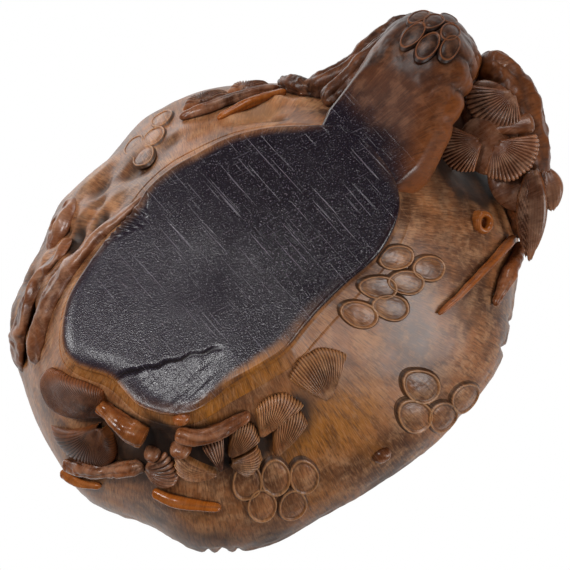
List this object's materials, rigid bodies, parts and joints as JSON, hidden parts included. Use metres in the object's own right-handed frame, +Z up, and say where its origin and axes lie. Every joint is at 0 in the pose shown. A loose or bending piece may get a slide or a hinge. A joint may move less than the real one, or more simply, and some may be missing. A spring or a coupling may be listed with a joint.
{
  "type": "libation cup",
  "caption": "Small horn libation cup carved with a pine trunk handle, needle fans and bark scales on its wall.",
  "frame": {"origin": "middle of the foot's flat face", "axes": "+X points to the handle, +Y to the wall with the most carving, +Z up out of the bowl's mouth"},
  "size_m": [0.1227, 0.0915, 0.0506],
  "materials": {
    "horn": "polished honey-brown horn with dark fibre streaks",
    "dark_horn": "polished near-black horn with pale fibre specks",
    "carved_horn": "carved brown horn, dark patina in the recesses",
    "amber_horn": "thin translucent amber horn, polished"
  },
  "bodies": {
    "root": {"amber_twig": "amber_horn", "bowl": "horn", "branch_knot": "carved_horn", "branch_stub": "carved_horn", "cut_branch": "amber_horn", "fan_stem": "carved_horn", "far_amber_twig": "amber_horn", "far_bark_scales": "carved_horn", "far_branch": "carved_horn", "far_fan": "carved_horn", "far_fan_high": "carved_horn", "far_twig": "carved_horn", "foot": "dark_horn", "foot_bark_scales": "carved_horn", "foot_branch": "carved_horn", "foot_tip_knob": "carved_horn", "forked_twig": "carved_horn", "handle_fan_left": "carved_horn", "handle_fan_right": "carved_horn", "handle_fan_upper": "carved_horn", "hollow_knot": "carved_horn", "left_fan_lower": "carved_horn", "left_fan_upper": "carved_horn", "long_twig": "carved_horn", "low_branch_long": "carved_horn", "low_branch_short": "amber_horn", "low_knot": "carved_horn", "near_fan_left": "carved_horn", "near_fan_lower": "carved_horn", "near_fan_middle": "carved_horn", "near_fan_right": "carved_horn", "near_fan_small": "carved_horn", "near_fan_tail": "carved_horn", "needle_tuft": "carved_horn", "outer_branch": "carved_horn", "rim_bark_scales": "carved_horn", "rim_fan_outer": "carved_horn", "rim_fan_upper": "carved_horn", "rock_lobe": "carved_horn", "root_ridge_inner": "carved_horn", "root_ridge_outer": "carved_horn", "scalloped_fan": "carved_horn", "side_bark_scales": "carved_horn", "spout_ridge_inner": "carved_horn", "spout_ridge_outer": "carved_horn", "trunk": "carved_horn", "trunk_bark_scales": "carved_horn", "wall_knot": "carved_horn"}
  },
  "joints": []
}
